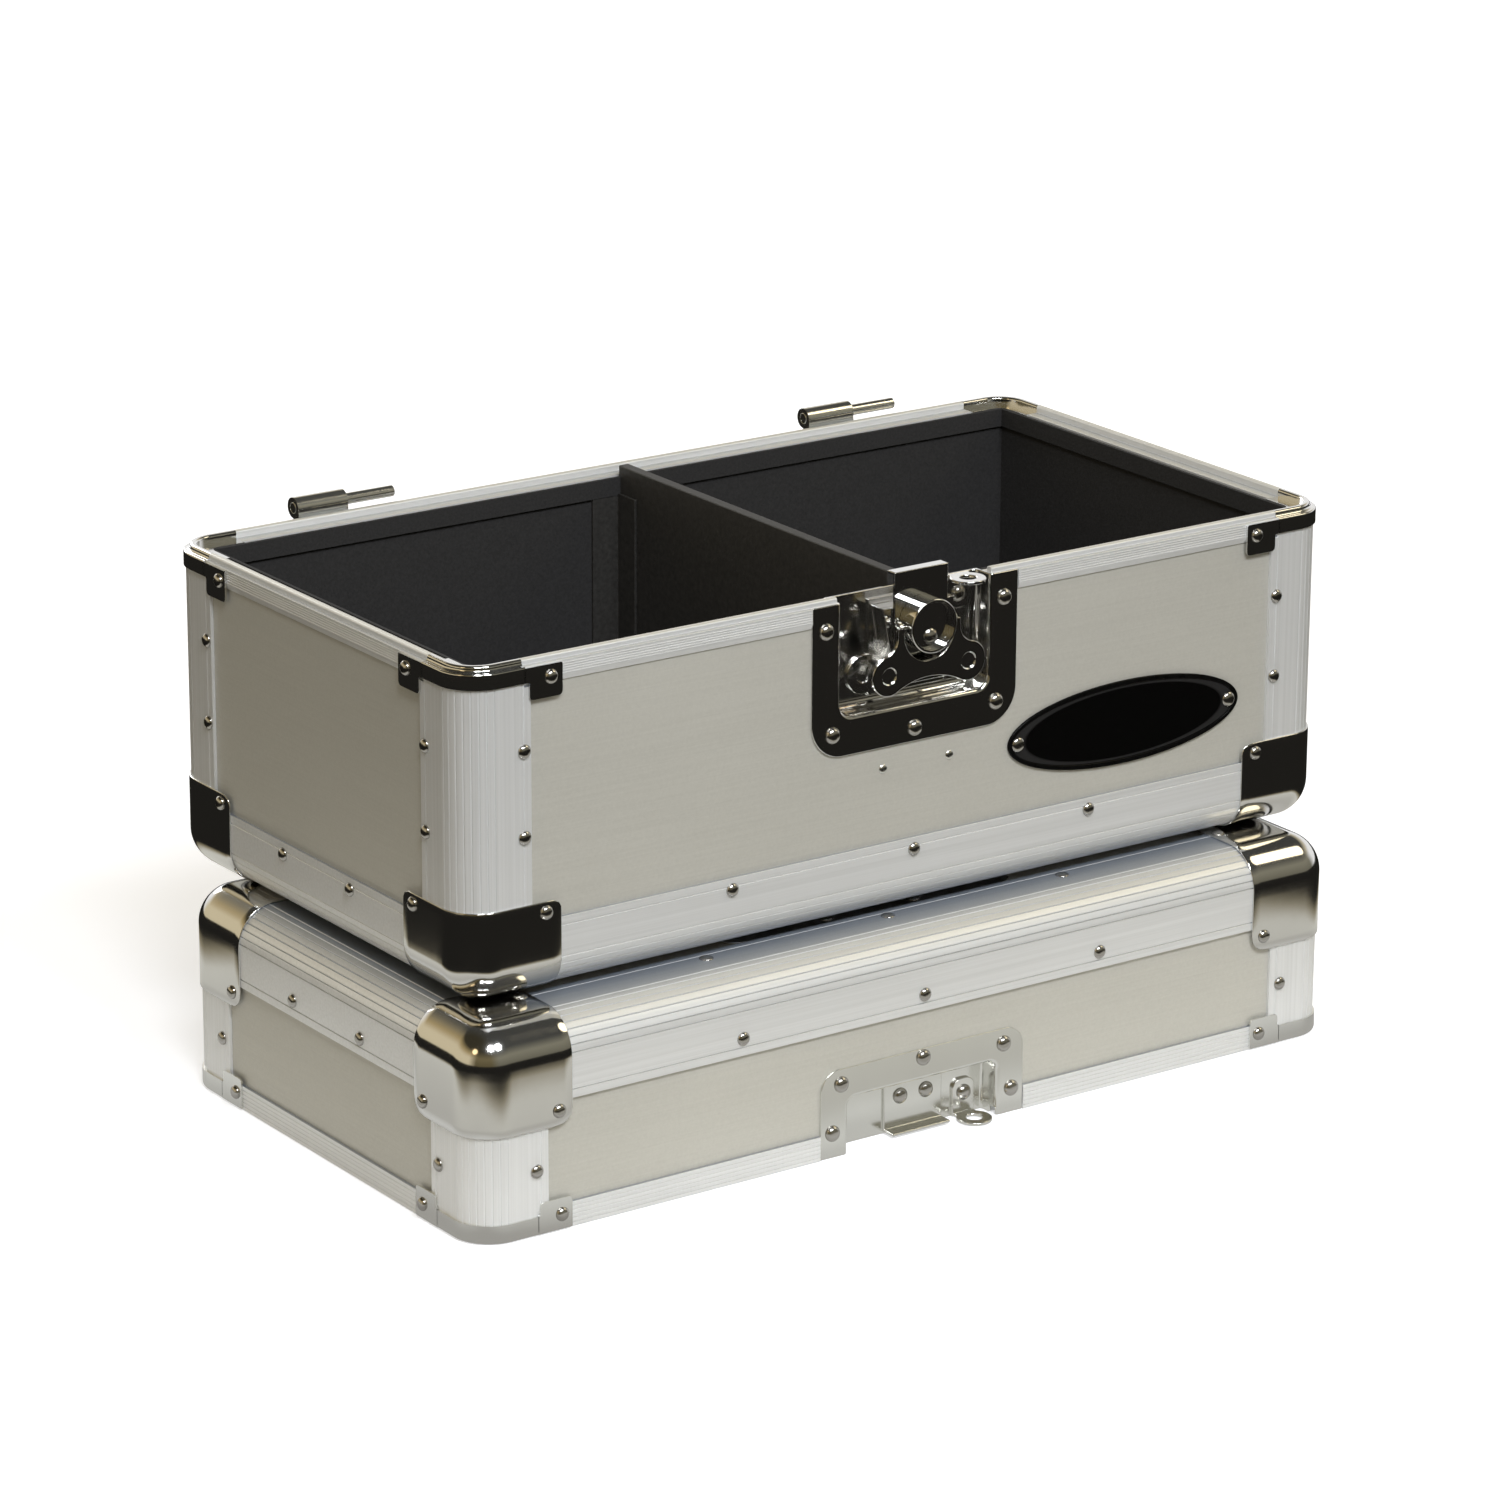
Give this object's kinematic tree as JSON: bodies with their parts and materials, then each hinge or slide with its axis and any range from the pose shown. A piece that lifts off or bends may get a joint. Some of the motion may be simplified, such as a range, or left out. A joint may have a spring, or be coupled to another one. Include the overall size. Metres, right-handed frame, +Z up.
{
  "type": "record carrying case",
  "caption": "Aluminium-edged carrying case for seven-inch records with a lift-off lid, twist latch, folding handle and a divided base.",
  "frame": {"origin": "centre of the bounding box's foot, on the surface that the lid stands on", "axes": "+X along the case, -Y towards the latch side, +Z up"},
  "size_m": [0.445, 0.26, 0.2343],
  "materials": {
    "panel_silver": "brushed",
    "section_silver": "anodised",
    "bright_chrome": "polished",
    "satin_nickel": "satin",
    "rivet_nickel": "polished",
    "lining_black": "matte",
    "board_black": "matte",
    "grip_black": "matte",
    "oval_black": "gloss",
    "oval_grey": "gloss"
  },
  "bodies": {
    "lid": {"lid_front_panel": "panel_silver", "lid_back_panel": "panel_silver", "lid_left_panel": "panel_silver", "lid_right_panel": "panel_silver", "lid_top_panel": "panel_silver", "lid_corner_posts": "section_silver", "lid_edge_extrusions": "section_silver", "lid_rim_extrusions": "section_silver", "lid_rim_clamps": "satin_nickel", "lid_ball_corners": "bright_chrome", "lid_rivets": "rivet_nickel", "keeper_dish": "satin_nickel", "keeper_dish_rivets": "rivet_nickel", "keeper_plate": "satin_nickel", "keeper_rivets": "rivet_nickel", "lid_hasp": "satin_nickel", "lid_hasp_rivet": "rivet_nickel", "handle_dish": "bright_chrome", "handle_dish_rivets": "rivet_nickel", "handle_brackets": "bright_chrome", "handle_pins": "satin_nickel", "lid_lining": "lining_black", "lid_hinge_leaves": "satin_nickel"},
    "base": {"base_front_panel": "panel_silver", "base_back_panel": "panel_silver", "base_left_panel": "panel_silver", "base_right_panel": "panel_silver", "base_floor_panel": "panel_silver", "base_corner_posts": "section_silver", "base_edge_extrusions": "section_silver", "base_rim_extrusions": "section_silver", "base_rim_clamps": "bright_chrome", "base_ball_corners": "bright_chrome", "base_rivets": "rivet_nickel", "latch_dish": "bright_chrome", "latch_dish_rivets": "rivet_nickel", "spare_rivets": "rivet_nickel", "latch_base_plate": "bright_chrome", "latch_pivot": "rivet_nickel", "base_hasp": "bright_chrome", "base_hasp_rivet": "rivet_nickel", "oval_plate": "oval_black", "oval_ring": "oval_grey", "oval_rivets": "rivet_nickel", "base_lining": "lining_black", "partition": "board_black", "partition_angles": "board_black", "base_hinge_leaves": "satin_nickel", "hinge_pins": "satin_nickel"},
    "cam": {"latch_cam": "bright_chrome", "latch_wing_pin": "bright_chrome"},
    "hook": {"latch_hook": "bright_chrome"},
    "wing": {"latch_wing": "bright_chrome"},
    "handle": {"handle_bail": "bright_chrome", "handle_grip": "grip_black"}
  },
  "joints": [
    {"name": "base_lift", "type": "slide", "parent": "lid", "child": "base", "axis": [0, 0, 1], "range_m": [0, 0.2]},
    {"name": "hook_slide", "type": "slide", "parent": "base", "child": "hook", "axis": [0, 0, 1], "range_m": [-0.005, 0]},
    {"name": "cam_twist", "type": "hinge", "parent": "base", "child": "cam", "pos_m": [0.0064, -0.10705, 0.2067], "axis": [0, 1, 0], "range_deg": [0, 180]},
    {"name": "wing_fold", "type": "hinge", "parent": "cam", "child": "wing", "pos_m": [0.0064, -0.10595, 0.2116], "axis": [-1, 0, 0], "range_deg": [0, 90]},
    {"name": "handle_raise", "type": "hinge", "parent": "lid", "child": "handle", "pos_m": [-0.0049, -0.01885, 0.0784], "axis": [-1, 0, 0], "range_deg": [0, 90]}
  ],
  "couplings": [
    {"joint": "cam_twist", "follows": "hook_slide", "rad_per_m": -628.32},
    {"joint": "handle_raise", "follows": "base_lift", "rad_per_m": 7.854}
  ]
}
